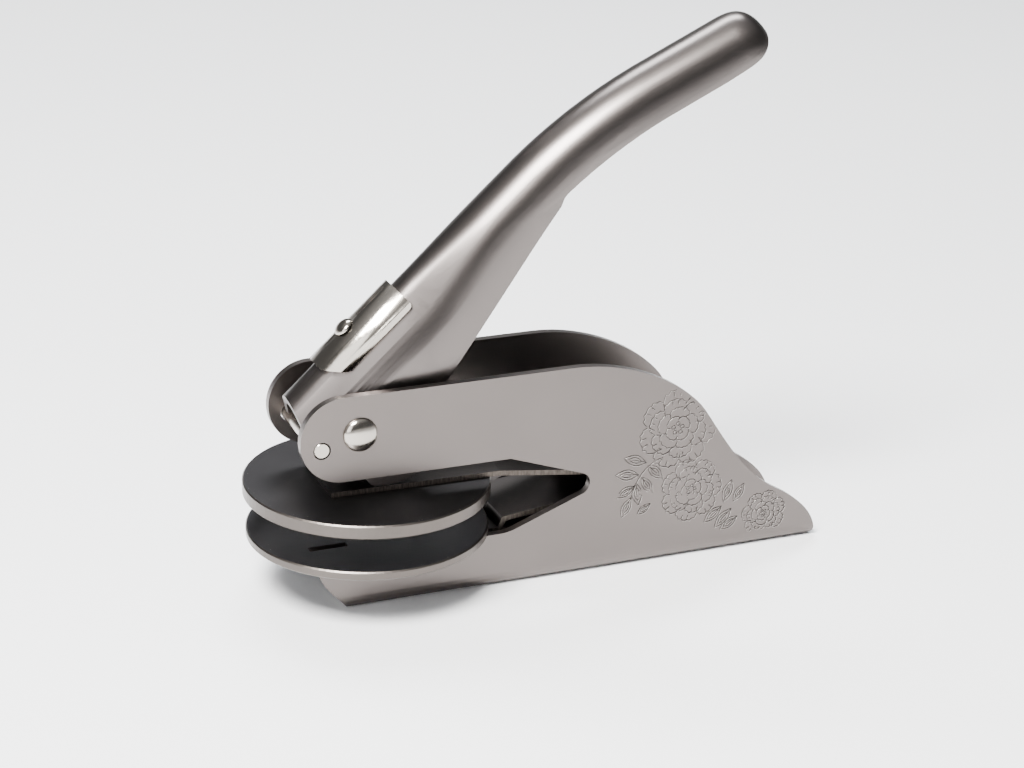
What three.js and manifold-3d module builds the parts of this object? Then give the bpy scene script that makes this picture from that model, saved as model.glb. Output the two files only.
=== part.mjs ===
// Hand-held embossing press: a folded sheet frame, a stamped lever on a rivet, and a
// V-shaped leaf clip that carries two round platens. Pressing the lever turns its cam
// onto the upper leaf and closes the platens on a sheet of paper.
// Millimetres, +Z up. X runs from the nose to the tail, and Y = 0 is the middle plane.
// The origin is on the base's bottom face, under the centre of the platens.
import * as THREE from 'three';
import { mergeVertices } from 'three/addons/utils/BufferGeometryUtils.js';
import Module from 'manifold-3d';

const wasm = await Module();
wasm.setup();

// ---- Driving dimensions ----

// Frame: one sheet folded into a channel that is open at the top
const FRAME_WIDTH = 21;
const FRAME_SHEET = 1.6;
const FOLD_RADIUS = 2.6;
const ARM_TOP = 41;
const MOUTH_TOP = 25.2;
const MOUTH_BOTTOM = 10.5;
const NOSE_X = -7.7;
const MOUTH_APEX_X = 23.8;
const THROAT = { x: 38, top: 20.2, bottom: 16 };
const TOE = { x: -13, foot: -7 };
const HUMP_X = 36;
const FLANK = { x: 62.5, z: 29.5 };
const WAIST = { x: 78.5, z: 11.1 };
const TAIL_X = 87.2;

// Lever: a sheet drawn into a round-topped channel with a gusset and a cam
const LEVER_SHEET = 1.5;
const LEVER_ANGLE = 42.2;
const LEVER_START = { x: -15.1, z: 38.35 };
const LEVER_STRAIGHT = 56;
const LEVER_BEND_RADIUS = 105;
const LEVER_BEND = 17;
const LEVER_GRIP = 23.2;
const GRIP_ROUND = 7;
const LEVER_CROWN = 4.4;
const SHOULDER_SLOPE = 55;
const SHOULDER_END = 8;
const SHOULDER_ROUNDING = 2;
const GRIP_HALF_WIDTH = 6.6;
const GRIP_DEPTH = 8.6;
const TIP_LENGTH = 7.5;
const TIP_FULLNESS = 3;
const WEB_CLEARANCE = 1;
const GUSSET_TOP = { x: 35.3, z: 71.7 };
const GUSSET_FOOT = { x: 12, z: 40 };
const NOSE_CUT_LEAN = 20;

// Pivot and stop
const PIVOT = { x: -4.7, z: 33.8 };
const PIVOT_RADIUS = 1.9;
const PIVOT_HEAD = { radius: 3.15, height: 1.5 };
const SLEEVE_WALL = 1;
const WASHER_RADIUS = 4.3;
const BOSS_RADIUS = 5.4;
const STOP = { x: -11.7, z: 31.6, radius: 1.4 };
const RUNNING_GAP = 0.15;
const HOLE_CLEARANCE = 0.2;
const SIDE_CLEARANCE = 0.3;

// Leaf clip and platens
const PLATEN_RADIUS = 22.5;
const PLATEN_THICKNESS = 2.6;
const PLATEN_TOP = 21.07;
const PLATEN_TILT = 0.69;
const LOWER_PLATEN_RADIUS = 22.1;
const LOWER_PLATEN_THICKNESS = 1.66;
const LEAF_THICKNESS = 0.95;
const LEAF_WIDTH = 15.4;
const LEAF_FRONT = -9.2;
const JOGGLE = { rise: 2, run: 0.9 };
const FOLD = { x: 56, z: 16.2, radius: 0.7 };
const SLOT = { x: -10.3, y: -8.5, length: 7, width: 1.6 };
const WELD_GAP = 0.02;

// Motion, in degrees from the open position
const LEVER_TRAVEL = 38;
const CLIP_TRAVEL = 4.35;

// Latch on the lever's crown, measured along the lever from its nose
const LATCH = { tip: 7.9, heel: 12.2, end: 27.2, sheet: 1, overhang: 1 };
const LATCH_TRAVEL = 6;
const LATCH_RIVET = { at: 16, head: 1.85, headHeight: 0.9, shank: 1.1 };
const KEEPER = { radius: 1.85, thickness: 0.6, depth: 2.6 };

// Torsion spring on the pivot sleeve
const SPRING = { wire: 0.45, turns: 5, pitch: 1.15 };

// ---- Derived sizes ----
const HALF_WIDTH = FRAME_WIDTH / 2;
const CHANNEL_HALF = HALF_WIDTH - FRAME_SHEET;
const WEB_HALF = CHANNEL_HALF - WEB_CLEARANCE;
const ARM_HALF = (ARM_TOP - MOUTH_TOP) / 2;
const SHOULDER_START = LEVER_CROWN * (1 - Math.cos(THREE.MathUtils.degToRad(SHOULDER_SLOPE)));
const LATCH_SKIRT = SHOULDER_START + LATCH.overhang;
const SLEEVE_BORE = PIVOT_RADIUS + RUNNING_GAP;
const SLEEVE_RADIUS = SLEEVE_BORE + SLEEVE_WALL;
const SLOPE = Math.tan(THREE.MathUtils.degToRad(PLATEN_TILT));
const LOWER_TOP = MOUTH_BOTTOM + 0.05 + LOWER_PLATEN_THICKNESS;

// ---- Materials ----
const steel = (color, roughness) =>
  new THREE.MeshStandardMaterial({ color, roughness, metalness: 1 });
const satin = () => steel(0xa59b96, 0.38);
const dark = () => steel(0x77716f, 0.45);
const nickel = () => steel(0xe6ded6, 0.15);
const spring = () => steel(0x6b6b6e, 0.4);

// ---- Geometry helpers ----

// A closed solid for cutting and joining.
function solid(geometry) {
  const bare = geometry.clone();
  bare.deleteAttribute('normal');
  bare.deleteAttribute('uv');
  const merged = mergeVertices(bare, 1e-4);
  return new wasm.Manifold(new wasm.Mesh({
    numProp: 3,
    vertProperties: merged.attributes.position.array,
    triVerts: Uint32Array.from(merged.index.array),
  }));
}

function geometryOf(body) {
  const mesh = body.getMesh();
  const geometry = new THREE.BufferGeometry();
  geometry.setAttribute('position', new THREE.Float32BufferAttribute(mesh.vertProperties, 3));
  geometry.setIndex(Array.from(mesh.triVerts));
  geometry.computeVertexNormals();
  return geometry;
}

// The shape's outline without points that fall on their neighbour.
function tidyShape(shape) {
  const points = shape.getPoints(16);
  const apart = points.filter((p, i) => p.distanceTo(points.at(i - 1)) > 1e-3);
  return new THREE.Shape(apart);
}

// A side-view shape (x, z) given thickness along Y, centred on the middle plane.
function plate(shape, width) {
  const geometry = new THREE.ExtrudeGeometry(tidyShape(shape), {
    depth: width, bevelEnabled: false,
  });
  geometry.rotateX(Math.PI / 2);
  geometry.translate(0, width / 2, 0);
  return geometry;
}

// An end-view shape (y, z) run along X.
function rail(shape, start, length) {
  const geometry = new THREE.ExtrudeGeometry(shape, {
    depth: length, bevelEnabled: false, curveSegments: 6,
  });
  geometry.applyMatrix4(new THREE.Matrix4().set(
    0, 0, 1, start,
    1, 0, 0, 0,
    0, 1, 0, 0,
    0, 0, 0, 1,
  ));
  return geometry;
}

// A round bar across the object, along Y.
function crossBar(radius, from, to, at, segments = 32) {
  const geometry = new THREE.CylinderGeometry(radius, radius, to - from, segments);
  geometry.translate(at.x, (from + to) / 2, at.z);
  return geometry;
}

// A ring across the object, along Y.
function crossRing(bore, radius, from, to) {
  const profile = [[bore, from], [radius, from], [radius, to], [bore, to], [bore, from]];
  const points = profile.map(([r, y]) => new THREE.Vector2(r, y));
  return new THREE.LatheGeometry(points, 32);
}

function mesh(name, geometry, material) {
  const object = new THREE.Mesh(geometry, material);
  object.name = name;
  return object;
}

// ---- Frame ----

function frameOutline() {
  const shape = new THREE.Shape();
  shape.moveTo(NOSE_X, ARM_TOP);
  shape.absarc(NOSE_X, ARM_TOP - ARM_HALF, ARM_HALF, Math.PI / 2, Math.PI * 1.5, false);
  shape.lineTo(MOUTH_APEX_X, MOUTH_TOP - 0.1);
  shape.lineTo(THROAT.x, THROAT.top);
  shape.bezierCurveTo(THROAT.x + 2.4, THROAT.top - 0.8, THROAT.x + 1.8, THROAT.bottom + 0.5,
    THROAT.x, THROAT.bottom);
  shape.lineTo(MOUTH_APEX_X + 1, MOUTH_BOTTOM + 0.5);
  shape.quadraticCurveTo(MOUTH_APEX_X - 0.5, MOUTH_BOTTOM, MOUTH_APEX_X - 2, MOUTH_BOTTOM);
  shape.lineTo(TOE.x, MOUTH_BOTTOM);
  shape.bezierCurveTo(TOE.x + 0.2, 7.5, TOE.x + 1, 5.8, TOE.x + 3, 3.6);
  shape.quadraticCurveTo(TOE.x + 4.6, 2, TOE.foot, 0);
  shape.lineTo(TAIL_X - 1.6, 0);
  shape.quadraticCurveTo(TAIL_X + 0.2, 0, TAIL_X, 1.8);
  shape.bezierCurveTo(TAIL_X - 0.8, 6, WAIST.x + 3.9, WAIST.z - 2.2, WAIST.x, WAIST.z);
  shape.bezierCurveTo(WAIST.x - 7.5, WAIST.z + 4.3, FLANK.x + 4.1, FLANK.z - 6, FLANK.x, FLANK.z);
  shape.bezierCurveTo(FLANK.x - 4.2, FLANK.z + 5.7, HUMP_X + 11.5, ARM_TOP, HUMP_X, ARM_TOP);
  shape.closePath();
  return shape;
}

// The channel's end view: a rectangle with its lower corners rounded.
function channelSection(half, floor, radius) {
  const shape = new THREE.Shape();
  shape.moveTo(-half, ARM_TOP + 9);
  shape.lineTo(-half, floor + radius);
  shape.quadraticCurveTo(-half, floor, -half + radius, floor);
  shape.lineTo(half - radius, floor);
  shape.quadraticCurveTo(half, floor, half, floor + radius);
  shape.lineTo(half, ARM_TOP + 9);
  shape.closePath();
  return shape;
}

function frame() {
  const start = NOSE_X - ARM_HALF - 5;
  const length = TAIL_X - start + 5;
  const inner = channelSection(CHANNEL_HALF, FRAME_SHEET, FOLD_RADIUS - FRAME_SHEET);
  const body = solid(plate(frameOutline(), FRAME_WIDTH + 4))
    .intersect(solid(rail(channelSection(HALF_WIDTH, 0, FOLD_RADIUS), start, length)))
    .subtract(solid(rail(inner, start, length)))
    .subtract(solid(crossBar(PIVOT_RADIUS + HOLE_CLEARANCE, -HALF_WIDTH - 1, HALF_WIDTH + 1, PIVOT)))
    .subtract(solid(crossBar(STOP.radius + HOLE_CLEARANCE, -HALF_WIDTH - 1, HALF_WIDTH + 1, STOP)));
  return mesh('frame', geometryOf(body), satin());
}

// ---- Pivot and stop pin ----

// A rivet with a domed head on each side.
function pivotRivet() {
  const { radius, height } = PIVOT_HEAD;
  const seat = HALF_WIDTH + 0.03;
  const profile = [new THREE.Vector2(0, -seat - height)];
  const steps = 6;
  for (let i = 1; i <= steps; i += 1) {
    const turn = (i / steps) * Math.PI / 2;
    profile.push(new THREE.Vector2(radius * Math.sin(turn), -seat - height * Math.cos(turn)));
  }
  profile.push(new THREE.Vector2(PIVOT_RADIUS, -seat));
  const other = profile.map((p) => new THREE.Vector2(p.x, -p.y)).reverse();
  const object = mesh('pivot_rivet', new THREE.LatheGeometry([...profile, ...other], 32), nickel());
  object.position.set(PIVOT.x, 0, PIVOT.z);
  return object;
}

// The sleeve spans the lever's hollow, which is narrower under the shoulders.
function pivotSleeve() {
  const angle = THREE.MathUtils.degToRad(LEVER_ANGLE);
  const depth = (PIVOT.x - LEVER_START.x) * Math.sin(angle) + (LEVER_START.z - PIVOT.z) * Math.cos(angle);
  const hollow = leverHalfWidth(0, depth - SLEEVE_RADIUS - LEVER_SHEET / 2) - LEVER_SHEET;
  const half = hollow - RUNNING_GAP;
  const object = mesh('pivot_sleeve', crossRing(SLEEVE_BORE, SLEEVE_RADIUS, -half, half), dark());
  object.position.set(PIVOT.x, 0, PIVOT.z);
  return object;
}

function pivotWasher(name, side) {
  const ring = crossRing(SLEEVE_BORE, WASHER_RADIUS, WEB_HALF + RUNNING_GAP, CHANNEL_HALF - RUNNING_GAP);
  const object = mesh(name, ring, nickel());
  object.position.set(PIVOT.x, 0, PIVOT.z);
  if (side < 0) object.rotation.z = Math.PI;
  return object;
}

function stopPin() {
  const bar = new THREE.CylinderGeometry(STOP.radius, STOP.radius, FRAME_WIDTH, 24);
  const object = mesh('stop_pin', bar, nickel());
  object.position.set(STOP.x, 0, STOP.z);
  return object;
}

// ---- Lever ----

// A point on the lever's crown line, s along it from the nose, and its direction.
function crown(s) {
  const angle = THREE.MathUtils.degToRad(LEVER_ANGLE);
  const bend = THREE.MathUtils.degToRad(LEVER_BEND);
  const arc = LEVER_BEND_RADIUS * bend;
  const straight = Math.min(s, LEVER_STRAIGHT);
  const turned = THREE.MathUtils.clamp(s - LEVER_STRAIGHT, 0, arc) / LEVER_BEND_RADIUS;
  const rest = Math.max(s - LEVER_STRAIGHT - arc, 0);
  const x = LEVER_START.x + straight * Math.cos(angle)
    + LEVER_BEND_RADIUS * (Math.sin(angle) - Math.sin(angle - turned)) + rest * Math.cos(angle - turned);
  const z = LEVER_START.z + straight * Math.sin(angle)
    + LEVER_BEND_RADIUS * (Math.cos(angle - turned) - Math.cos(angle)) + rest * Math.sin(angle - turned);
  return { x, z, angle: angle - turned };
}

const LEVER_LENGTH = LEVER_STRAIGHT + LEVER_GRIP
  + LEVER_BEND_RADIUS * THREE.MathUtils.degToRad(LEVER_BEND);

// The point at depth u under the crown line.
function under(s, u) {
  const { x, z, angle } = crown(s);
  return new THREE.Vector2(x + u * Math.sin(angle), z - u * Math.cos(angle));
}

// The lower of two widths, with the corner between them rounded off.
function roundedMin(a, b, rounding) {
  const share = THREE.MathUtils.clamp(0.5 + (b - a) / (2 * rounding), 0, 1);
  return b + (a - b) * share - rounding * share * (1 - share);
}

// The lever's half width at depth u: a round crown, sloping shoulders and flat webs.
function leverHalfWidth(s, u) {
  const web = THREE.MathUtils.lerp(WEB_HALF, GRIP_HALF_WIDTH, THREE.MathUtils.smoothstep(s, 22, 55));
  const slope = THREE.MathUtils.degToRad(SHOULDER_SLOPE);
  const edge = LEVER_CROWN * Math.sin(slope);
  const shoulder = edge + (WEB_HALF - edge) * (u - SHOULDER_START) / (SHOULDER_END - SHOULDER_START);
  return roundedMin(shoulder, web, SHOULDER_ROUNDING);
}

// One side of the lever's section near the pivot, from the crown down to the webs.
function shoulderSide(s, inset) {
  const radius = LEVER_CROWN - inset;
  const slope = THREE.MathUtils.degToRad(SHOULDER_SLOPE);
  const side = [];
  for (let i = 0; i < 6; i += 1) {
    const turn = (i / 6) * slope;
    side.push([radius * Math.sin(turn), LEVER_CROWN - radius * Math.cos(turn)]);
  }
  const sink = inset * Math.cos(slope);
  const wall = inset * Math.sin(slope);
  for (let i = 0; i <= 7; i += 1) {
    const share = i / 7;
    const u = SHOULDER_START + share * (SHOULDER_END - SHOULDER_START) * 1.2;
    const inward = THREE.MathUtils.lerp(wall, inset, share);
    side.push([leverHalfWidth(s, u) - inward, u + sink * (1 - share)]);
  }
  return side;
}

// One side of the lever's section, set in by the given inset: shoulders that turn into a round grip.
function leverSide(s, inset, depth) {
  const web = leverHalfWidth(s, depth) - inset;
  const roundness = THREE.MathUtils.smoothstep(s, LATCH.end, LEVER_STRAIGHT - 6);
  const shoulders = shoulderSide(s, inset);
  const side = shoulders.map(([y, u], i) => {
    const turn = i / (shoulders.length - 1) * Math.PI / 2;
    const roundY = web * Math.sin(turn);
    const roundU = inset + (GRIP_ROUND - inset) * (1 - Math.cos(turn));
    return [THREE.MathUtils.lerp(y, roundY, roundness), THREE.MathUtils.lerp(u, roundU, roundness)];
  });
  return [...side, [web, depth]];
}

// A closed loft of the lever's section, solid inside, from before the nose to the tip.
function leverLoft(inset, depth) {
  const length = LEVER_LENGTH - inset;
  const stations = [-12, 0, 14, 28, 36, 44, 52];
  for (let i = 0; i <= 8; i += 1) stations.push(LEVER_STRAIGHT + i * (length - TIP_LENGTH - LEVER_STRAIGHT) / 8);
  for (let i = 1; i <= 6; i += 1) stations.push(length - TIP_LENGTH * (1 - Math.sin(i / 6 * Math.PI / 2) * 0.995));
  const rings = stations.map((s) => {
    const reach = THREE.MathUtils.clamp((s - length + TIP_LENGTH) / TIP_LENGTH, 0, 1);
    const shrink = (1 - reach ** TIP_FULLNESS) ** (1 / TIP_FULLNESS);
    const half = leverSide(s, inset, depth).map(([y, u]) => [
      y * shrink, GRIP_DEPTH - (GRIP_DEPTH - u) * shrink,
    ]);
    const whole = [...half.slice(1).reverse().map(([y, u]) => [-y, u]), ...half];
    return whole.map(([y, u]) => {
      const p = under(s, u);
      return [p.x, y, p.y];
    });
  });
  return loft(rings);
}

function loft(rings) {
  const count = rings[0].length;
  const positions = rings.flat(2);
  const index = [];
  for (let r = 0; r + 1 < rings.length; r += 1) {
    for (let i = 0; i < count; i += 1) {
      const a = r * count + i;
      const b = r * count + (i + 1) % count;
      index.push(a, a + count, b, b, a + count, b + count);
    }
  }
  // Each end is closed by a fan round the crown's centre, halfway between the two sides.
  [0, rings.length - 1].forEach((r) => {
    const ring = rings[r];
    const hub = positions.length / 3;
    const base = ring[Math.floor(count / 2)];
    const foot = ring[0].map((v, k) => (v + ring[count - 1][k]) / 2);
    const share = (LEVER_CROWN + 2) / (GRIP_DEPTH * 4);
    positions.push(...base.map((v, k) => v + (foot[k] - v) * share));
    for (let i = 0; i < count; i += 1) {
      const a = r * count + i;
      const b = r * count + (i + 1) % count;
      if (r === 0) index.push(hub, a, b);
      else index.push(hub, b, a);
    }
  });
  const geometry = new THREE.BufferGeometry();
  geometry.setAttribute('position', new THREE.Float32BufferAttribute(positions, 3));
  geometry.setIndex(index);
  return geometry;
}

// How far the closing clip lowers the upper leaf's top face at x.
function leafDrop(x) {
  const closed = THREE.MathUtils.degToRad(CLIP_TRAVEL - PLATEN_TILT);
  const faceAt = (at) => PLATEN_TOP + LEAF_THICKNESS - at * SLOPE;
  const lift = (faceAt(FOLD.x) - FOLD.z) * (Math.cos(closed) ** -1 - 1);
  return faceAt(x) - faceAt(FOLD.x) - lift + (FOLD.x - x) * Math.tan(closed);
}

// The cam stays on the leaf while lever and clip turn in a constant ratio.
function camPoints() {
  const travel = THREE.MathUtils.degToRad(LEVER_TRAVEL);
  const rate = leafDrop(PIVOT.x + 6) / travel;
  const leafTop = PLATEN_TOP + LEAF_THICKNESS + WELD_GAP - (PIVOT.x + rate) * SLOPE;
  const steps = 8;
  return Array.from({ length: steps + 1 }, (_, i) => {
    const turn = (i / steps) * travel;
    const reach = PIVOT.z - leafTop - SIDE_CLEARANCE + rate * turn;
    return new THREE.Vector2(
      PIVOT.x + reach * Math.sin(turn) + rate * Math.cos(turn),
      PIVOT.z - reach * Math.cos(turn) + rate * Math.sin(turn),
    );
  });
}

// The lever's side view, with its crown side left oversize: the loft trims it.
function leverOutline() {
  const shape = new THREE.Shape();
  const line = (p) => shape.lineTo(p.x, p.y);
  const notch = STOP.radius + SIDE_CLEARANCE;
  const lean = Math.tan(THREE.MathUtils.degToRad(NOSE_CUT_LEAN));
  const noseX = (z) => LEVER_START.x + (LEVER_START.z - z) * lean;
  const noseFoot = STOP.z + notch;
  shape.moveTo(noseX(LEVER_START.z + 1), LEVER_START.z + 1);
  shape.lineTo(noseX(noseFoot), noseFoot);
  shape.lineTo(STOP.x, noseFoot);
  shape.absarc(STOP.x, STOP.z, notch, Math.PI / 2, 0.25, true);
  const bossStart = THREE.MathUtils.degToRad(198);
  const bossEnd = THREE.MathUtils.degToRad(256);
  shape.absarc(PIVOT.x, PIVOT.z, BOSS_RADIUS, bossStart, bossEnd, false);
  const cam = camPoints();
  shape.bezierCurveTo(PIVOT.x + 1.2, PIVOT.z - 6, PIVOT.x + 1.4, cam[0].y, PIVOT.x + 4, cam[0].y);
  cam.forEach(line);
  shape.bezierCurveTo(GUSSET_FOOT.x - 1, cam.at(-1).y + 2, GUSSET_FOOT.x - 2, GUSSET_FOOT.z - 3,
    GUSSET_FOOT.x, GUSSET_FOOT.z);
  shape.lineTo(GUSSET_TOP.x - 1, GUSSET_TOP.z - 1.4);
  const gripStart = LEVER_STRAIGHT + 6;
  const gripEnd = LEVER_LENGTH - TIP_LENGTH * 1.6;
  const blend = under(gripStart - 2, GRIP_DEPTH);
  shape.quadraticCurveTo(blend.x, blend.y, under(gripStart, GRIP_DEPTH).x, under(gripStart, GRIP_DEPTH).y);
  for (let i = 1; i <= 8; i += 1) line(under(gripStart + i * (gripEnd - gripStart) / 8, GRIP_DEPTH));
  const corner = under(LEVER_LENGTH - TIP_LENGTH * 0.4, GRIP_DEPTH - 0.3);
  const end = under(LEVER_LENGTH + 1, 3.5);
  shape.quadraticCurveTo(corner.x, corner.y, end.x, end.y);
  const back = (LEVER_LENGTH - LEVER_STRAIGHT) / 6;
  for (let i = 0; i <= 6; i += 1) line(under(LEVER_LENGTH + 1 - i * back, -3));
  line(under(1.5, -3));
  shape.closePath();
  return shape;
}

// The slot in the crown that the latch's rivet slides in.
function leverSlot() {
  const half = LATCH_RIVET.shank + HOLE_CLEARANCE;
  const from = LATCH_RIVET.at - LATCH_TRAVEL;
  const shape = new THREE.Shape();
  shape.absarc(from, 0, half, Math.PI / 2, Math.PI * 1.5, false);
  shape.absarc(LATCH_RIVET.at, 0, half, Math.PI * 1.5, Math.PI * 2.5, false);
  shape.closePath();
  const geometry = new THREE.ExtrudeGeometry(shape, { depth: 6, bevelEnabled: false, curveSegments: 8 });
  geometry.translate(0, 0, -3);
  return geometry.applyMatrix4(leverFrame());
}

// The frame of the lever's straight part: X along the crown, Z away from it, from the nose.
function leverFrame() {
  const turn = new THREE.Matrix4().makeRotationY(-THREE.MathUtils.degToRad(LEVER_ANGLE));
  return turn.setPosition(LEVER_START.x, 0, LEVER_START.z);
}

function lever() {
  const depth = 36;
  const body = solid(leverLoft(0, depth))
    .subtract(solid(leverLoft(LEVER_SHEET, depth + 4)))
    .intersect(solid(plate(leverOutline(), FRAME_WIDTH)))
    .subtract(solid(crossBar(SLEEVE_BORE, -HALF_WIDTH, HALF_WIDTH, PIVOT)))
    .subtract(solid(leverSlot()));
  return mesh('lever', geometryOf(body), satin());
}

// ---- Latch, in the frame of the lever's straight part ----

// The latch's end view (y, z): a saddle round the crown.
function latchSection() {
  const inner = LEVER_CROWN + SIDE_CLEARANCE;
  const outer = inner + LATCH.sheet;
  const drop = LEVER_CROWN - LATCH_SKIRT;
  const reach = (radius) => Math.asin(drop / radius);
  const shape = new THREE.Shape();
  shape.absarc(0, -LEVER_CROWN, outer, reach(outer), Math.PI - reach(outer), false);
  shape.absarc(0, -LEVER_CROWN, inner, Math.PI - reach(inner), reach(inner), true);
  shape.closePath();
  return shape;
}

// The latch's side view: swept back from its pointed tip, square at its other end.
function latchSide() {
  const top = LATCH.sheet + 2;
  const shape = new THREE.Shape();
  shape.moveTo(LATCH.tip, top);
  shape.lineTo(LATCH.tip, SIDE_CLEARANCE);
  shape.lineTo(LATCH.heel, -LATCH_SKIRT - 1);
  shape.lineTo(LATCH.end - 0.9, -LATCH_SKIRT - 1);
  shape.quadraticCurveTo(LATCH.end, -LATCH_SKIRT, LATCH.end, -LATCH_SKIRT + 0.9);
  shape.lineTo(LATCH.end, top);
  shape.closePath();
  return shape;
}

function latchSlide() {
  const hole = new THREE.CylinderGeometry(LATCH_RIVET.shank + HOLE_CLEARANCE / 2,
    LATCH_RIVET.shank + HOLE_CLEARANCE / 2, 6, 24);
  hole.rotateX(Math.PI / 2);
  hole.translate(LATCH_RIVET.at, 0, 1);
  const body = solid(rail(latchSection(), LATCH.tip - 1, LATCH.end - LATCH.tip + 2))
    .intersect(solid(plate(latchSide(), FRAME_WIDTH)))
    .subtract(solid(hole));
  return mesh('latch_slide', geometryOf(body), nickel());
}

// The rivet: a dome over the latch, a shank through the slot, and a tail under the keeper.
function latchRivet() {
  const seat = SIDE_CLEARANCE + LATCH.sheet + 0.05;
  const tail = -KEEPER.depth - KEEPER.thickness - 0.05;
  const { shank, head, headHeight } = LATCH_RIVET;
  const profile = [[0, tail - 0.6], [KEEPER.radius - 0.45, tail - 0.6], [KEEPER.radius - 0.45, tail], [shank, tail],
    [shank, seat], [head, seat]];
  for (let i = 1; i <= 5; i += 1) {
    const turn = (i / 5) * Math.PI / 2;
    profile.push([head * Math.cos(turn), seat + headHeight * Math.sin(turn)]);
  }
  profile[profile.length - 1][0] = 0;
  const geometry = new THREE.LatheGeometry(profile.map(([r, y]) => new THREE.Vector2(r, y)), 24);
  geometry.rotateX(Math.PI / 2);
  const object = mesh('latch_rivet', geometry, nickel());
  object.position.x = LATCH_RIVET.at;
  return object;
}

// The keeper washer inside the lever, under the crown.
function latchKeeper() {
  const ring = crossRing(LATCH_RIVET.shank + HOLE_CLEARANCE / 2, KEEPER.radius, 0, KEEPER.thickness);
  ring.rotateX(Math.PI / 2);
  const object = mesh('latch_keeper', ring, dark());
  object.position.set(LATCH_RIVET.at, 0, -KEEPER.depth - KEEPER.thickness);
  return object;
}

// ---- Return spring ----

// The wire's middle line: a leg under the stop pin, the coil, and a leg under the crown.
class SpringPath extends THREE.Curve {
  constructor() {
    super();
    const radius = SLEEVE_RADIUS + SPRING.wire + SIDE_CLEARANCE;
    const drop = STOP.radius + SPRING.wire + SIDE_CLEARANCE / 2;
    const start = -SPRING.turns * SPRING.pitch / 2;
    const points = [
      new THREE.Vector3(STOP.x - 1.6, start, STOP.z - drop),
      new THREE.Vector3(STOP.x + 1.2, start, STOP.z - drop),
    ];
    const steps = SPRING.turns * 16 + 6;
    for (let i = 0; i <= steps; i += 1) {
      const turn = Math.PI * 1.45 + (i / 16) * Math.PI * 2;
      points.push(new THREE.Vector3(
        PIVOT.x + radius * Math.cos(turn),
        start + (i / 16) * SPRING.pitch,
        PIVOT.z + radius * Math.sin(turn),
      ));
    }
    const seat = under(24, LEVER_CROWN + 1.4);
    points.push(new THREE.Vector3(seat.x, -start, seat.y));
    this.curve = new THREE.CatmullRomCurve3(points, false, 'centripetal');
  }

  getPoint(t, target = new THREE.Vector3()) {
    return this.curve.getPoint(t, target);
  }
}

function returnSpring() {
  const section = new THREE.Shape();
  section.absarc(0, 0, SPRING.wire, 0, Math.PI * 2, false);
  const geometry = new THREE.ExtrudeGeometry(section, {
    steps: SPRING.turns * 16 + 12, extrudePath: new SpringPath(), bevelEnabled: false, curveSegments: 8,
  });
  return mesh('return_spring', geometry, spring());
}

// ---- Leaf clip and platens ----

// A bent strip: its middle line (x, z) given the leaf's thickness and width.
function strip(points) {
  const half = LEAF_THICKNESS / 2;
  const normals = points.map((p, i) => {
    const a = points[Math.max(i - 1, 0)];
    const b = points[Math.min(i + 1, points.length - 1)];
    const before = i > 0 ? p.clone().sub(a).normalize() : b.clone().sub(p).normalize();
    const after = i < points.length - 1 ? b.clone().sub(p).normalize() : before;
    const mitre = new THREE.Vector2(-before.y - after.y, before.x + after.x).normalize();
    return mitre.divideScalar(mitre.dot(new THREE.Vector2(-before.y, before.x))).multiplyScalar(half);
  });
  const upper = points.map((p, i) => p.clone().add(normals[i]));
  const lower = points.map((p, i) => p.clone().sub(normals[i])).reverse();
  return plate(new THREE.Shape([...lower.reverse(), ...upper.reverse()]), LEAF_WIDTH);
}

function upperLeaf() {
  const seat = (x) => PLATEN_TOP - x * SLOPE + WELD_GAP + LEAF_THICKNESS / 2;
  const bend = PLATEN_RADIUS + SIDE_CLEARANCE;
  const foldTop = FOLD.z + FOLD.radius;
  return mesh('upper_leaf', strip([
    new THREE.Vector2(LEAF_FRONT, seat(LEAF_FRONT)),
    new THREE.Vector2(bend, seat(bend)),
    new THREE.Vector2(FOLD.x - 1.2, foldTop + 0.15),
  ]), satin());
}

function lowerLeaf() {
  const seat = LOWER_TOP - LOWER_PLATEN_THICKNESS - WELD_GAP - LEAF_THICKNESS / 2;
  const heel = LOWER_PLATEN_RADIUS + SIDE_CLEARANCE + LEAF_THICKNESS / 2;
  const points = [
    new THREE.Vector2(LEAF_FRONT, seat),
    new THREE.Vector2(heel, seat),
    new THREE.Vector2(heel + JOGGLE.run, seat + JOGGLE.rise),
    new THREE.Vector2(FOLD.x - 1.2, FOLD.z - FOLD.radius),
  ];
  for (let i = 0; i <= 6; i += 1) {
    const turn = -Math.PI / 2 + (i / 6) * Math.PI;
    points.push(new THREE.Vector2(FOLD.x + FOLD.radius * Math.cos(turn), FOLD.z + FOLD.radius * Math.sin(turn)));
  }
  return mesh('lower_leaf', strip(points), satin());
}

// A disc with its rims eased, its top face at height zero.
function disc(radius, thickness) {
  const ease = 0.25;
  const profile = [[0, -thickness], [radius - ease, -thickness], [radius, -thickness + ease],
    [radius, -ease], [radius - ease, 0], [0, 0]];
  const geometry = new THREE.LatheGeometry(profile.map(([r, y]) => new THREE.Vector2(r, y)), 96);
  return geometry.rotateX(Math.PI / 2);
}

function upperPlaten() {
  const object = mesh('upper_platen', disc(PLATEN_RADIUS, PLATEN_THICKNESS), dark());
  object.position.z = PLATEN_TOP;
  object.rotation.y = THREE.MathUtils.degToRad(PLATEN_TILT);
  return object;
}

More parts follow.
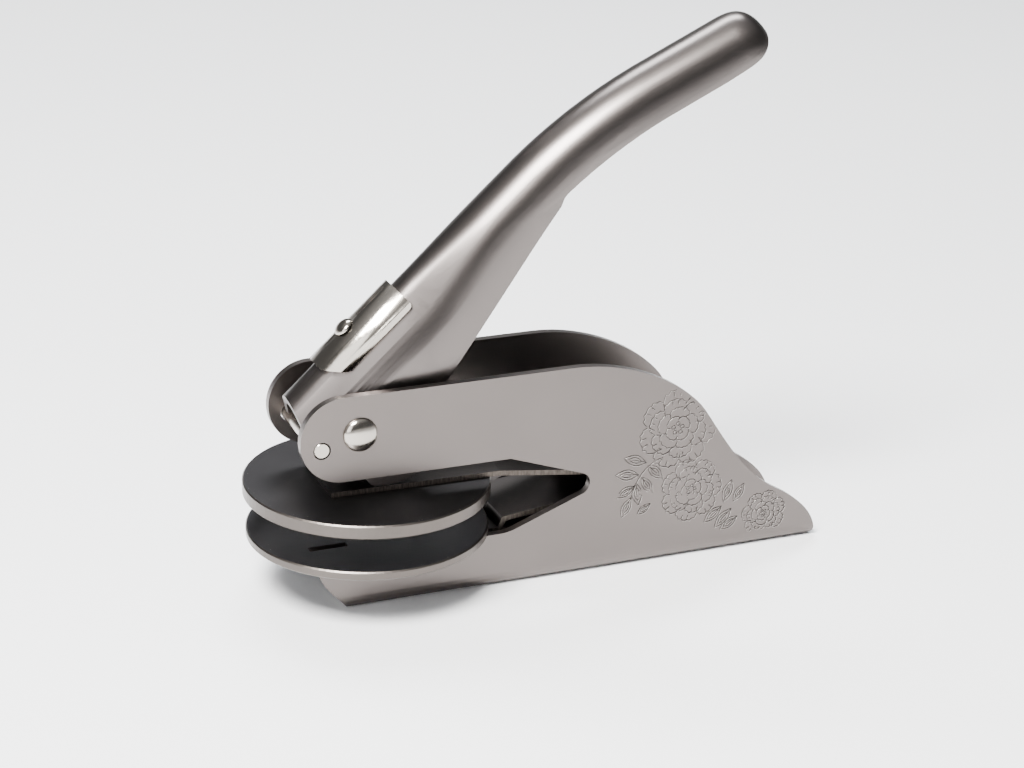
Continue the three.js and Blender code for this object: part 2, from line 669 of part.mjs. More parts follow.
// The lower platen has a narrow slot that locates the die.
function lowerPlaten() {
  const slot = new THREE.BoxGeometry(SLOT.length, SLOT.width, LOWER_PLATEN_THICKNESS + 2);
  slot.translate(SLOT.x, SLOT.y, -LOWER_PLATEN_THICKNESS / 2);
  const body = solid(disc(LOWER_PLATEN_RADIUS, LOWER_PLATEN_THICKNESS)).subtract(solid(slot));
  const object = mesh('lower_platen', geometryOf(body), dark());
  object.position.z = LOWER_TOP;
  return object;
}

// ---- Assembly ----

const press = new THREE.Group();
press.add(frame(), pivotRivet(), pivotSleeve(), stopPin(), returnSpring());
press.add(pivotWasher('pivot_washer_near', -1), pivotWasher('pivot_washer_far', 1));
press.add(lower(), upper(), lever(), latch());

function lower() {
  return new THREE.Group().add(lowerLeaf(), lowerPlaten());
}

function upper() {
  return new THREE.Group().add(upperLeaf(), upperPlaten());
}

function latch() {
  const group = new THREE.Group();
  group.applyMatrix4(leverFrame());
  return group.add(latchSlide(), latchRivet(), latchKeeper());
}

export default press;
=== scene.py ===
"""A hand-held embossing press in satin gunmetal plate, on a pale studio floor."""

import math

import bmesh
import bpy
from mathutils import Matrix, Vector


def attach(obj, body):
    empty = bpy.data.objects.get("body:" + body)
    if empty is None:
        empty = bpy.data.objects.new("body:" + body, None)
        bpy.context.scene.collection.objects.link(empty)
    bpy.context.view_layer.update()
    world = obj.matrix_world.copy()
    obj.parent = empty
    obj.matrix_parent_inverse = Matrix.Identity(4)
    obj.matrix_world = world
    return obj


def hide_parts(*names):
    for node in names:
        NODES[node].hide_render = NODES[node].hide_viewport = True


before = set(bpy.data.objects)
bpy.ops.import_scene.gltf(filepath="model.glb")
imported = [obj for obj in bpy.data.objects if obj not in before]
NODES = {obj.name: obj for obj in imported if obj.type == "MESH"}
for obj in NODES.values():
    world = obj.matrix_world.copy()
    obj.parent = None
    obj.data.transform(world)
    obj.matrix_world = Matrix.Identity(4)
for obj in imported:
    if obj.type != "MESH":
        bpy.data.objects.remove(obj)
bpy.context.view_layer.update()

MM = 0.001

# Lever, in millimetres: the same line and section as the frame's lever
LEVER_SHEET = 1.5
LEVER_ANGLE = math.radians(42.2)
LEVER_START = (-15.1, 38.35)
LEVER_STRAIGHT = 56.0
LEVER_RADIUS = 105.0
LEVER_BEND = math.radians(17)
LEVER_GRIP = 23.2
LEVER_LENGTH = LEVER_STRAIGHT + LEVER_GRIP + LEVER_RADIUS * LEVER_BEND
CROWN_RADIUS = 4.4
SHOULDER_SLOPE = math.radians(55)
SHOULDER_END = 8.0
SHOULDER_ROUNDING = 2.0
SHOULDER_START = CROWN_RADIUS * (1 - math.cos(SHOULDER_SLOPE))
WEB_HALF = 7.9
GRIP_HALF = 6.6
GRIP_DEPTH = 8.6
GRIP_ROUND = 7.0
TIP_LENGTH = 7.5
TIP_FULLNESS = 3.0
WEB_TAPER = (22, 55)
LOFT_START = -12.0
GUSSET_TOP = (34.3, 70.3)
GUSSET_FOOT = (12.0, 40.0)
STOP_NOTCH = 1.7
BOSS_RADIUS = 5.4
LEVER_TRAVEL = math.radians(38)
CAM_REACH = 11.45
CAM_SPREAD = 6.25
NOSE_LEAN = math.tan(math.radians(20))

# Latch, in millimetres along and above the lever's crown line
LATCH_TIP = 7.9
LATCH_HEEL = 12.2
LATCH_END = 27.2
LATCH_INNER = 4.7
LATCH_OUTER = 5.7
LATCH_SKIRT = 2.9
LATCH_TRAVEL = 6.0
LATCH_RIVET_AT = 16.0
LATCH_RIVET_HEAD = 1.85
LATCH_RIVET_HEIGHT = 0.9
LATCH_RIVET_SHANK = 1.1
LATCH_SHOULDER = 26.0
SLOT_HALF = 1.3

# Hardware, in millimetres
PIVOT = (-4.7, 33.8)
PIVOT_RADIUS = 1.9
PIVOT_BORE = 2.05
PIVOT_HEAD = 3.15
PIVOT_HEAD_HEIGHT = 1.5
STOP = (-11.7, 31.6)
STOP_RADIUS = 1.4
STOP_CHAMFER = 0.12
PLATE_FACE = 10.5
PAST_PLATES = 12

# Engraving on the near plate, (x, z) in millimetres
# Each flower has its centre, radius and turn
FLOWERS = [((57.1, 26.4), 7.8, 0.3), ((60.4, 13.6), 6.3, 1.4), ((76.0, 6.4), 4.6, 0.8)]
STEM = [(55.0, 21.0), (52.0, 21.0), (49.0, 18.5), (48.0, 13.5)]
# Each leaf has its foot, direction in degrees and length
LEAVES = [
    ((50.9, 20.4), 162, 4.8), ((49.4, 18.2), 174, 4.8), ((51.2, 19.8), -44, 4.4),
    ((50.0, 17.6), -56, 4.2), ((48.9, 16.6), -82, 4.6), ((48.6, 16.0), 208, 4.0),
    ((48.0, 13.8), 244, 4.2), ((67.3, 10.0), 70, 4.6), ((69.4, 9.8), 58, 4.0),
    ((67.0, 9.2), 218, 4.6), ((69.0, 8.4), 226, 4.8), ((70.4, 6.6), 212, 4.2),
    ((52.0, 12.0), 215, 3.2),
]
GROOVE_RADIUS = 0.10
# Each engraved line has a lighter line just under it: a painted highlight on its lower edge.
HIGHLIGHT_LINE_RADIUS = 0.07
HIGHLIGHT_LINE_SHIFT = (0.1, -0.13)

# Camera: where it stands, how it is turned, and its lens
CAMERA_PLACE = Vector((-0.12769, -0.37892, 0.19389))
CAMERA_AZIMUTH = math.radians(22.35)
CAMERA_ELEVATION = math.radians(21.18)
CAMERA_ROLL = math.radians(0.95)
CAMERA_LENS = 84.4


# ---- Materials ----


def new_material(name):
    """A material with its shader and an object-space coordinate."""
    material = bpy.data.materials.new(name)
    material.use_nodes = True
    tree = material.node_tree
    shader = tree.nodes["Principled BSDF"]
    place = tree.nodes.new("ShaderNodeTexCoord").outputs["Object"]
    return material, tree, shader, place


def noise(tree, place, scale, detail=4.0, stretch=(1, 1, 1)):
    """A noise of about scale features per metre, drawn out by stretch."""
    mapping = tree.nodes.new("ShaderNodeMapping")
    mapping.inputs["Scale"].default_value = stretch
    tree.links.new(place, mapping.inputs["Vector"])
    node = tree.nodes.new("ShaderNodeTexNoise")
    node.inputs["Scale"].default_value = scale
    node.inputs["Detail"].default_value = detail
    tree.links.new(mapping.outputs["Vector"], node.inputs["Vector"])
    return node.outputs["Fac"]


def remap(tree, value, low, high, start=0.3, end=0.7):
    """value from start to end becomes low to high."""
    node = tree.nodes.new("ShaderNodeMapRange")
    node.inputs["From Min"].default_value = start
    node.inputs["From Max"].default_value = end
    node.inputs["To Min"].default_value = low
    node.inputs["To Max"].default_value = high
    tree.links.new(value, node.inputs["Value"])
    return node.outputs["Result"]


def mix_colors(tree, factor, first, second):
    """first where factor is 0 and second where it is 1; each is a colour or a socket."""
    node = tree.nodes.new("ShaderNodeMix")
    node.data_type = "RGBA"
    tree.links.new(factor, node.inputs["Factor"])
    for socket, color in ((node.inputs[6], first), (node.inputs[7], second)):
        if isinstance(color, tuple):
            socket.default_value = (*color, 1)
        else:
            tree.links.new(color, socket)
    return node.outputs[2]


def bump(tree, shader, height, distance, under=None):
    """Adds relief of that height in metres, over another bump's normal if given."""
    node = tree.nodes.new("ShaderNodeBump")
    node.inputs["Distance"].default_value = distance
    tree.links.new(height, node.inputs["Height"])
    if under:
        tree.links.new(under, node.inputs["Normal"])
    tree.links.new(node.outputs["Normal"], shader.inputs["Normal"])
    return node.outputs["Normal"]


def plated(name, color, roughness, cloud=0.03, grain=0.000001, relief=0.000008, waves=90):
    """Satin metal plate: a slightly clouded colour, a fine grain and faint waviness."""
    material, tree, shader, place = new_material(name)
    lighter = tuple(min(1.0, c * (1 + cloud)) for c in color)
    darker = tuple(c * (1 - cloud) for c in color)
    clouds = remap(tree, noise(tree, place, 55), 0, 1)
    tree.links.new(mix_colors(tree, clouds, darker, lighter), shader.inputs["Base Color"])
    specks = noise(tree, place, 2600, 2)
    tree.links.new(remap(tree, specks, roughness - 0.015, roughness + 0.02), shader.inputs["Roughness"])
    shader.inputs["Metallic"].default_value = 1.0
    wavy = bump(tree, shader, noise(tree, place, waves, 2), relief)
    bump(tree, shader, noise(tree, place, 9000, 1), grain, wavy)
    return material


def worn_steel(name, color, roughness):
    """Turned platen steel: faint rings in its sheen, and pale specks towards the rim."""
    material, tree, shader, place = new_material(name)
    length = tree.nodes.new("ShaderNodeVectorMath")
    length.operation = "LENGTH"
    flat = tree.nodes.new("ShaderNodeMapping")
    flat.inputs["Scale"].default_value = (1, 1, 0)
    tree.links.new(place, flat.inputs["Vector"])
    tree.links.new(flat.outputs["Vector"], length.inputs[0])
    radius = length.outputs["Value"]
    rings = tree.nodes.new("ShaderNodeTexNoise")
    rings.noise_dimensions = "1D"
    rings.inputs["Scale"].default_value = 9000
    tree.links.new(radius, rings.inputs["W"])
    clouds = remap(tree, noise(tree, place, 70), 0, 1)
    darker = tuple(c * 0.9 for c in color)
    lighter = tuple(c * 1.12 for c in color)
    ground = mix_colors(tree, clouds, darker, lighter)
    specks = remap(tree, noise(tree, place, 2400, 3), 0, 1, 0.70, 0.76)
    near_rim = remap(tree, radius, 0, 1, 0.0195, 0.0224)
    worn = tree.nodes.new("ShaderNodeMath")
    worn.operation = "MULTIPLY"
    tree.links.new(specks, worn.inputs[0])
    tree.links.new(near_rim, worn.inputs[1])
    bare = (0.75, 0.71, 0.66)
    tree.links.new(mix_colors(tree, worn.outputs["Value"], ground, bare), shader.inputs["Base Color"])
    sheen = remap(tree, rings.outputs["Fac"], roughness - 0.01, roughness + 0.01)
    tree.links.new(sheen, shader.inputs["Roughness"])
    shader.inputs["Metallic"].default_value = 1.0
    bump(tree, shader, noise(tree, place, 5000, 2), 0.0000012)
    return material


def sheared(name, color, roughness, edge_color):
    """Strip steel: satin faces, and rougher brownish edges where the shear went through."""
    material, tree, shader, place = new_material(name)
    split = tree.nodes.new("ShaderNodeSeparateXYZ")
    tree.links.new(tree.nodes.new("ShaderNodeTexCoord").outputs["Normal"], split.inputs["Vector"])
    side = tree.nodes.new("ShaderNodeMath")
    side.operation = "ABSOLUTE"
    tree.links.new(split.outputs["Y"], side.inputs[0])
    on_edge = remap(tree, side.outputs["Value"], 0, 1, 0.75, 0.85)
    streaks = remap(tree, noise(tree, place, 2600, 4, (1, 1, 0.2)), 0, 1, 0.35, 0.65)
    edge = mix_colors(tree, streaks, tuple(c * 0.45 for c in edge_color), edge_color)
    clouds = remap(tree, noise(tree, place, 80), 0, 1)
    face = mix_colors(tree, clouds, tuple(c * 0.93 for c in color), tuple(c * 1.07 for c in color))
    tree.links.new(mix_colors(tree, on_edge, face, edge), shader.inputs["Base Color"])
    tree.links.new(remap(tree, on_edge, roughness, 0.55, 0, 1), shader.inputs["Roughness"])
    shader.inputs["Metallic"].default_value = 1.0
    bump(tree, shader, noise(tree, place, 1500, 3, (1, 1, 0.3)), 0.00002)
    return material


def floor_material():
    """Pale paper with faint clouds and a fine tooth."""
    material, tree, shader, place = new_material("studio_paper")
    clouds = remap(tree, noise(tree, place, 3), 0, 1)
    paper = mix_colors(tree, clouds, (0.90, 0.91, 0.93), (0.93, 0.94, 0.95))
    tree.links.new(paper, shader.inputs["Base Color"])
    shader.inputs["Roughness"].default_value = 0.55
    bump(tree, shader, noise(tree, place, 700, 3), 0.00002)
    return material


PLATE = plated("gunmetal_plate", (0.140, 0.124, 0.117), 0.33)
# Lighter plate colour for the rounded edges of the frame and lever: a painted highlight.
RIM_HIGHLIGHT = plated("plate_rim_painted_highlight", (0.34, 0.315, 0.30), 0.22)
LEVER = plated("lever_plate", (0.140, 0.125, 0.119), 0.29)
NICKEL = plated("bright_nickel", (0.44, 0.405, 0.36), 0.16, 0.04, 0.000002, 0.00003, 380)
PLAIN = plated("plain_steel", (0.12, 0.11, 0.105), 0.42)
SPRING = plated("spring_steel", (0.16, 0.16, 0.17), 0.30)
PLATEN = worn_steel("platen_steel", (0.085, 0.082, 0.085), 0.32)
PLATEN_RIM = plated("platen_rim", (0.105, 0.093, 0.085), 0.34, 0.10, 0.000004, 0.00002)
LEAF = sheared("leaf_steel", (0.11, 0.10, 0.096), 0.30, (0.13, 0.112, 0.098))
ENGRAVED = plated("engraved_line", (0.06, 0.053, 0.05), 0.5)
# Painted highlight along the lower edge of each engraved line.
CATCH_LIGHT = plated("painted_highlight_under_engraving", (0.42, 0.39, 0.37), 0.3)


# ---- Mesh helpers ----


def mesh_object(name, points, faces, *materials):
    """A new object from points in millimetres."""
    mesh = bpy.data.meshes.new(name)
    mesh.from_pydata([Vector(p) * MM for p in points], [], faces)
    mesh.update()
    obj = bpy.data.objects.new(name, mesh)
    bpy.context.scene.collection.objects.link(obj)
    for material in materials:
        mesh.materials.append(material)
    return obj


def evaluate(obj):
    """Makes the object's modifiers part of its mesh."""
    graph = bpy.context.evaluated_depsgraph_get()
    mesh = bpy.data.meshes.new_from_object(obj.evaluated_get(graph))
    obj.modifiers.clear()
    obj.data = mesh


def boolean(obj, tool, operation):
    """Cuts, joins or keeps the overlap of obj with tool, and removes tool."""
    modifier = obj.modifiers.new("cut", "BOOLEAN")
    modifier.operation = operation
    modifier.solver = "EXACT"
    modifier.object = tool
    evaluate(obj)
    bpy.data.objects.remove(tool)


def prism(name, outline, low, high):
    """A side-view outline (x, z) given thickness from y low to high."""
    return between(name, [(x, low, z) for x, z in outline], [(x, high, z) for x, z in outline])


def between(name, first, last):
    """The solid between two outlines that match point for point."""
    count = len(first)
    sides = [(i, (i + 1) % count, (i + 1) % count + count, i + count) for i in range(count)]
    ends = [tuple(range(count)), tuple(range(count, 2 * count))]
    obj = mesh_object(name, first + last, sides + ends)
    outwards(obj)
    return obj


def outwards(obj):
    """Turns every face of a closed mesh to the outside."""
    work = bmesh.new()
    work.from_mesh(obj.data)
    bmesh.ops.recalc_face_normals(work, faces=work.faces)
    work.to_mesh(obj.data)
    work.free()


def lathe(name, profile, axis, place, *materials, steps=96):
    """profile is (radius, height) in millimetres, turned about axis ("y" or "z")."""
    points, faces = [], []
    count = len(profile)
    for i in range(steps):
        turn = 2 * math.pi * i / steps
        for radius, height in profile:
            a, b = radius * math.cos(turn), radius * math.sin(turn)
            points.append((a, height, b) if axis == "y" else (a, b, height))
        for j in range(count - 1):
            k, other = i * count + j, (i + 1) % steps * count + j
            faces.append((k, k + 1, other + 1, other))
    obj = mesh_object(name, points, faces, *materials)
    work = bmesh.new()
    work.from_mesh(obj.data)
    bmesh.ops.remove_doubles(work, verts=work.verts, dist=1e-7)
    bmesh.ops.recalc_face_normals(work, faces=work.faces)
    work.to_mesh(obj.data)
    work.free()
    obj.data.transform(Matrix.Translation(Vector(place) * MM))
    return obj


def smooth(obj, angle=32):
    """Smooth shading, with creases where faces meet at more than angle."""
    obj.data.shade_smooth()
    work = bmesh.new()
    work.from_mesh(obj.data)
    for edge in work.edges:
        edge.smooth = len(edge.link_faces) == 2 and edge.calc_face_angle(0) < math.radians(angle)
    work.to_mesh(obj.data)
    work.free()


def ease_edges(obj, width, segments=3, highlight_slot=None, angle=35):
    """Rounds the sharp edges by width in millimetres; a given slot puts its material on the rounded
    faces, a painted highlight along the edges.
    """
    flat = obj.modifiers.new("flat faces", "DECIMATE")
    flat.decimate_type = "DISSOLVE"
    flat.angle_limit = math.radians(1.0)
    bevel = obj.modifiers.new("edges", "BEVEL")
    bevel.width = width * MM
    bevel.segments = segments
    bevel.limit_method = "ANGLE"
    bevel.angle_limit = math.radians(angle)
    bevel.harden_normals = True
    bevel.use_clamp_overlap = True
    # The rounded faces take the lighter material in that slot: a painted highlight.
    if highlight_slot is not None:
        bevel.material = highlight_slot


def paint(obj, *materials):
    """Gives the object these materials alone, and smooth shading."""
    obj.data.materials.clear()
    for material in materials:
        obj.data.materials.append(material)
    obj.data.shade_smooth()


def finish_node(name, slot_name, width, *materials, highlight_slot=None):
    """A piece of the frame keeps its shape and gets eased edges and its own finish; a given slot paints a
    highlight on the eased edges.
    """
    obj = NODES[name]
    paint(obj, *materials)
    if width:
        ease_edges(obj, width, 3, highlight_slot)


def finish_platen(name):
    """A platen's flat faces are dark and its rim is brighter."""
    finish_node(name, "platen_steel", 0.12, PLATEN, PLATEN_RIM)
    for face in NODES[name].data.polygons:
        face.material_index = 1 if abs(face.normal.z) < 0.85 else 0


# ---- Lever ----


def crown(s):
    """(x, z, direction) of the lever's crown line, s along it from the nose."""
    straight = min(s, LEVER_STRAIGHT)
    arc = LEVER_RADIUS * LEVER_BEND
    turned = min(max(s - LEVER_STRAIGHT, 0), arc) / LEVER_RADIUS
    rest = max(s - LEVER_STRAIGHT - arc, 0)
    end = LEVER_ANGLE - turned
    x = LEVER_START[0] + straight * math.cos(LEVER_ANGLE)
    x += LEVER_RADIUS * (math.sin(LEVER_ANGLE) - math.sin(end)) + rest * math.cos(end)
    z = LEVER_START[1] + straight * math.sin(LEVER_ANGLE)
    z += LEVER_RADIUS * (math.cos(end) - math.cos(LEVER_ANGLE)) + rest * math.sin(end)
    return x, z, end


def under(s, depth):
    """The point (x, z) at that depth under the crown line."""
    x, z, angle = crown(s)
    return x + depth * math.sin(angle), z - depth * math.cos(angle)


def ease(value, start, end):
    """0 before start, 1 after end, and smooth between them."""
    t = min(max((value - start) / (end - start), 0), 1)
    return t * t * (3 - 2 * t)


def rounded_min(a, b, rounding):
    """The lower of two widths, with the corner between them rounded off."""
    share = min(max(0.5 + (b - a) / (2 * rounding), 0), 1)
    return b + (a - b) * share - rounding * share * (1 - share)


def half_width(s, depth):
    """The lever's half width at that depth: a round crown, sloping shoulders and flat webs."""
    web = WEB_HALF + (GRIP_HALF - WEB_HALF) * ease(s, *WEB_TAPER)
    edge = CROWN_RADIUS * math.sin(SHOULDER_SLOPE)
    shoulder = edge + (WEB_HALF - edge) * (depth - SHOULDER_START) / (SHOULDER_END - SHOULDER_START)
    return rounded_min(shoulder, web, SHOULDER_ROUNDING)


def shoulder_side(s, inset):
    """One side of the lever's section near the pivot, from the crown down to the webs."""
    radius = CROWN_RADIUS - inset
    side = []
    for i in range(12):
        turn = i / 12 * SHOULDER_SLOPE
        side.append((radius * math.sin(turn), CROWN_RADIUS - radius * math.cos(turn)))
    for i in range(21):
        share = i / 20
        u = SHOULDER_START + share * (SHOULDER_END - SHOULDER_START) * 1.2
        inward = inset * (math.sin(SHOULDER_SLOPE) * (1 - share) + share)
        lower = inset * math.cos(SHOULDER_SLOPE) * (1 - share)
        side.append((half_width(s, u) - inward, u + lower))
    return side


def lever_side(s, inset, depth):
    """One side of the lever's section: shoulders that turn into a round grip."""
    web = half_width(s, depth) - inset
    roundness = ease(s, LATCH_END, LEVER_STRAIGHT - 6)
    shoulders = shoulder_side(s, inset)
    side = []
    for i, (y, u) in enumerate(shoulders):
        turn = i / (len(shoulders) - 1) * math.pi / 2
        round_y = web * math.sin(turn)
        round_u = inset + (GRIP_ROUND - inset) * (1 - math.cos(turn))
        side.append((y + (round_y - y) * roundness, u + (round_u - u) * roundness))
    return side + [(web, depth)]


def lever_loft(inset, depth):
    """The lever's section run along its crown line, solid inside, closing to a blunt tip."""
    length = LEVER_LENGTH - inset
    body = length - TIP_LENGTH
    stations = [LOFT_START] + [body * i / 60 for i in range(61)]
    stations += [body + TIP_LENGTH * math.sin(i / 16 * math.pi / 2) * 0.995 for i in range(1, 17)]
    rings = []
    for s in stations:
        reach = min(max((s - body) / TIP_LENGTH, 0), 1)
        shrink = (1 - reach ** TIP_FULLNESS) ** (1 / TIP_FULLNESS)
        side = lever_side(s, inset, depth)
        half = [(y * shrink, GRIP_DEPTH - (GRIP_DEPTH - u) * shrink) for y, u in side]
        whole = [(-y, u) for y, u in reversed(half[1:])] + half
        rings.append([(under(s, u)[0], y, under(s, u)[1]) for y, u in whole])
    count = len(rings[0])
    points = [p for ring in rings for p in ring]
    faces = [
        (a + i, a + (i + 1) % count, a + count + (i + 1) % count, a + count + i)
        for a in range(0, len(points) - count, count)
        for i in range(count)
    ]
    faces += [tuple(range(count)), tuple(range(len(points) - count, len(points)))]
    obj = mesh_object("lever_loft", points, faces)
    outwards(obj)
    return obj


def arc(centre, radius, start, end, steps):
    """Points of an arc, from start to end in degrees."""
    turns = [math.radians(start + (end - start) * i / steps) for i in range(steps + 1)]
    return [(centre[0] + radius * math.cos(t), centre[1] + radius * math.sin(t)) for t in turns]


def curve(start, first, second, end, steps=14):
    """Points of a Bezier curve after its start."""
    points = []
    for i in range(1, steps + 1):
        t = i / steps
        weights = ((1 - t) ** 3, 3 * t * (1 - t) ** 2, 3 * t * t * (1 - t), t ** 3)
        corners = (start, first, second, end)
        points.append(tuple(sum(w * c[k] for w, c in zip(weights, corners)) for k in (0, 1)))
    return points


def cam():
    """The cam's edge, from the open lever's lowest point backwards."""
    points = []
    for i in range(13):
        turn = i / 12 * LEVER_TRAVEL
        reach = CAM_REACH + CAM_SPREAD * turn
        x = PIVOT[0] + reach * math.sin(turn) + CAM_SPREAD * math.cos(turn)
        z = PIVOT[1] - reach * math.cos(turn) + CAM_SPREAD * math.sin(turn)
        points.append((x, z))
    return points


def cam_outline():
    """The lever's foot (x, z): the notch over the stop, the boss, the cam and the gusset's foot."""
    foot = STOP[1] + STOP_NOTCH
    lobe = cam()
    low = lobe[0][1]
    outline = [
        (LEVER_START[0] - NOSE_LEAN, LEVER_START[1] + 1),
        (LEVER_START[0] + (LEVER_START[1] - foot) * NOSE_LEAN, foot),
    ]
    outline += arc(STOP, STOP_NOTCH, 90, 14, 10)
    outline += arc(PIVOT, BOSS_RADIUS, 198, 256, 16)
    first = (PIVOT[0] + 1.2, PIVOT[1] - 6)
    outline += curve(outline[-1], first, (PIVOT[0] + 1.4, low), (PIVOT[0] + 4, low))
    outline += lobe
    return outline + curve(lobe[-1], (11.0, lobe[-1][1] + 2), (10.0, 37.0), GUSSET_FOOT)


def grip_outline():
    """The lever's lower edge (x, z) from the gusset's top to the tip."""
    start = LEVER_STRAIGHT + 6
    end = LEVER_LENGTH - TIP_LENGTH * 1.6
    blend = under(start - 2, GRIP_DEPTH)
    outline = [GUSSET_TOP] + curve(GUSSET_TOP, blend, blend, under(start, GRIP_DEPTH))
    outline += [under(start + i / 16 * (end - start), GRIP_DEPTH) for i in range(1, 17)]
    corner = under(LEVER_LENGTH - TIP_LENGTH * 0.4, GRIP_DEPTH - 0.3)
    return outline + curve(outline[-1], corner, corner, under(LEVER_LENGTH + 1, 3.5))


def lever_outline():
    """The lever's side view, oversize along the crown, where the loft trims it."""
    back = (LEVER_LENGTH - LEVER_STRAIGHT) / 8
    above = [under(LEVER_LENGTH + 1 - i * back, -3) for i in range(9)]
    return cam_outline() + grip_outline() + above + [under(1.5, -3)]


def slot_cutter():
    """The slot in the crown for the latch's rivet."""
    ends = arc((LATCH_RIVET_AT - LATCH_TRAVEL, 0), SLOT_HALF, 90, 270, 12)
    ends += arc((LATCH_RIVET_AT, 0), SLOT_HALF, 270, 450, 12)
    obj = between("slot", [(x, y, -3) for x, y in ends], [(x, y, 3) for x, y in ends])
    obj.data.transform(crown_frame())
    return obj


def crown_frame():
    """The lever's straight part: X along the crown, Z away from it, from the nose."""
    place = Matrix.Translation(Vector((LEVER_START[0], 0, LEVER_START[1])) * MM)
    return place @ Matrix.Rotation(-LEVER_ANGLE, 4, "Y")


def bore():
    """The hole for the pivot's rivet."""
    side = [(0, -PAST_PLATES), (PIVOT_BORE, -PAST_PLATES), (PIVOT_BORE, PAST_PLATES), (0, PAST_PLATES)]
    return lathe("bore", side, "y", (PIVOT[0], 0, PIVOT[1]), steps=64)


def make_lever():
    """The lever's hollow shell, made with deep webs, trimmed to its side view and pierced."""
    lever = lever_loft(0, 36)
    lever.name = "lever_shell"
    boolean(lever, lever_loft(LEVER_SHEET, 40), "DIFFERENCE")
    boolean(lever, prism("side", lever_outline(), -PAST_PLATES, PAST_PLATES), "INTERSECT")
    boolean(lever, bore(), "DIFFERENCE")
    boolean(lever, slot_cutter(), "DIFFERENCE")
    # The lever's eased edges take the lighter rim material: a painted highlight.
    paint(lever, LEVER, RIM_HIGHLIGHT)
    ease_edges(lever, 0.28, 3, 1, 40)
    evaluate(lever)
    smooth(lever, 30)
    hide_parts("lever")
    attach(lever, "lever")


# ---- Latch ----


def latch_section():
    """The latch's end view (y, height): a saddle with a flat band along each lower edge."""
    centre = (0, -CROWN_RADIUS)
    inner = math.degrees(math.asin((CROWN_RADIUS - LATCH_SKIRT) / LATCH_INNER))
    slope = math.radians(LATCH_SHOULDER)
    band = LATCH_OUTER * math.cos(slope) + 0.14
    right = [(band, -LATCH_SKIRT), (band, -CROWN_RADIUS + LATCH_OUTER * math.sin(slope))]
    points = right + arc(centre, LATCH_OUTER, LATCH_SHOULDER + 3, 177 - LATCH_SHOULDER, 40)
    points += [(-y, z) for y, z in reversed(right)]
    return points + arc(centre, LATCH_INNER, 180 - inner, inner, 40)


def latch_side():
    """The latch's side view (along, height): a swept front and rounded rear corners."""
    rear, corner = LATCH_END - 0.9, 0.9
    side = [(LATCH_TIP, 3), (LATCH_TIP, 0.3), (LATCH_HEEL, -4), (rear, -4), (rear, -LATCH_SKIRT)]
    side += arc((rear, -LATCH_SKIRT + corner), corner, -80, 0, 6)
    return side + [(LATCH_END, 3)]


def make_saddle():
    """The bright saddle that slides on the lever's crown, with its rivet hole."""
    section = latch_section()
    first = [(LATCH_TIP - 1, y, z) for y, z in section]
    saddle = between("latch_saddle", first, [(LATCH_END + 1, y, z) for y, z in section])
    boolean(saddle, prism("side", latch_side(), -PAST_PLATES, PAST_PLATES), "INTERSECT")
    hole = LATCH_RIVET_SHANK + 0.05
    side = [(0, -4), (hole, -4), (hole, 4), (0, 4)]
    boolean(saddle, lathe("hole", side, "z", (LATCH_RIVET_AT, 0, 0), steps=48), "DIFFERENCE")
    paint(saddle, NICKEL)
    ease_edges(saddle, 0.16, 3, None, 25)
    evaluate(saddle)
    smooth(saddle, 22)
    return saddle


def make_latch_rivet():
    """The domed rivet that holds the saddle to the crown."""
    seat, foot, under_slot = 1.35, -3.9, -3.3
    turns = [i / 12 * math.pi / 2 for i in range(12)]
    profile = [(0, foot), (1.4, foot), (1.4, under_slot)]
    profile += [(LATCH_RIVET_SHANK, under_slot), (LATCH_RIVET_SHANK, seat)]
    for t in turns:
        profile.append((LATCH_RIVET_HEAD * math.cos(t), seat + LATCH_RIVET_HEIGHT * math.sin(t)))
    profile.append((0, seat + LATCH_RIVET_HEIGHT))
    rivet = lathe("latch_rivet_body", profile, "z", (LATCH_RIVET_AT, 0, 0), NICKEL)
    smooth(rivet, 35)
    return rivet


def make_latch():
    """The saddle, its rivet and two fine grooves, on the lever's crown."""
    saddle = make_saddle()
    rivet = make_latch_rivet()
    grooves = [latch_groove(offset) for offset in (-0.3, 0.3)]
    for obj in (saddle, rivet, *grooves):
        obj.data.transform(crown_frame())
        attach(obj, "latch")
    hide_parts("latch_slide")
    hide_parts("latch_rivet")


def latch_groove(offset):
    """A fine dark line along the saddle's crest, behind the rivet."""
    start, end = LATCH_RIVET_AT + 3.2, LATCH_END - 1.2
    height = -CROWN_RADIUS + math.sqrt(LATCH_OUTER ** 2 - offset ** 2)
    return tube("latch_groove", [(start, offset, height), (end, offset, height)], 0.055, ENGRAVED)


def tube(name, points, radius, material, sides=6):
    """A fine round line through points at one depth, closed at both ends."""
    verts, faces = [], []
    path = [Vector(p) for p in points]
    for i, p in enumerate(path):
        ahead = (path[min(i + 1, len(path) - 1)] - path[max(i - 1, 0)]).normalized()
        across = ahead.cross(Vector((0, 1, 0))).normalized()
        beside = ahead.cross(across)
        width = radius * (0.35 + 0.65 * math.sin(math.pi * (i + 0.5) / len(path)) ** 0.5)
        for k in range(sides):
            turn = 2 * math.pi * k / sides
            verts.append(tuple(p + width * (across * math.cos(turn) + beside * math.sin(turn))))
    for i in range(len(path) - 1):
        for k in range(sides):
            a, b = i * sides + k, i * sides + (k + 1) % sides
            faces.append((a, b, b + sides, a + sides))
    last = (len(path) - 1) * sides
    faces += [tuple(range(sides))[::-1], tuple(range(last, last + sides))]
    obj = mesh_object(name, verts, faces, material)
    outwards(obj)
    obj.data.shade_smooth()
    return obj


# ---- Rivet and pin ----


